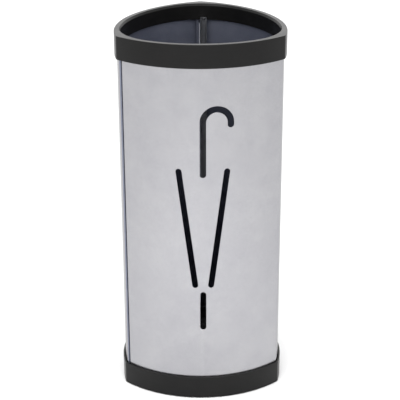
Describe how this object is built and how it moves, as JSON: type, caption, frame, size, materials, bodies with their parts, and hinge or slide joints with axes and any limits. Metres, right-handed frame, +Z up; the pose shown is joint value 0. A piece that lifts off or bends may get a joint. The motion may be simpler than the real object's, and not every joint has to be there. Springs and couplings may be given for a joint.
{
  "type": "umbrella stand",
  "caption": "Free-standing umbrella stand, rounded-triangle plan, bowed sheet-steel sides with an umbrella cut-out, black moulded rim and base, and a lift-out drip tray.",
  "frame": {"origin": "on the floor, in the middle of the stand's bounding box", "axes": "+Z up; -Y out of the panel with the umbrella cut-out; +X to the right as that panel is faced"},
  "size_m": [0.2664, 0.2726, 0.6],
  "materials": {
    "black_plastic": "finely textured black moulding",
    "tray_plastic": "plain dark grey moulding",
    "grey_enamel": "light grey powder coat with a very fine grain",
    "zinc_steel": "zinc-plated folded sheet",
    "screw_steel": "bright zinc plating",
    "black_rubber": "matt black rubber"
  },
  "bodies": {
    "stand": {"top_ring": "black_plastic", "base_ring": "black_plastic", "panel_front": "grey_enamel", "panel_back_right": "grey_enamel", "panel_back_left": "grey_enamel", "corner_post_back": "zinc_steel", "top_screw_back": "screw_steel", "base_screw_back": "screw_steel", "base_washer_back": "screw_steel", "rubber_foot_back": "black_rubber", "corner_post_front_left": "zinc_steel", "top_screw_front_left": "screw_steel", "base_screw_front_left": "screw_steel", "base_washer_front_left": "screw_steel", "rubber_foot_front_left": "black_rubber", "corner_post_front_right": "zinc_steel", "top_screw_front_right": "screw_steel", "base_screw_front_right": "screw_steel", "base_washer_front_right": "screw_steel", "rubber_foot_front_right": "black_rubber"},
    "tray": {"drip_tray": "tray_plastic"}
  },
  "joints": [
    {"name": "tray_lift", "type": "slide", "parent": "stand", "child": "tray", "axis": [0, 0, 1], "range_m": [0, 0.62]}
  ]
}
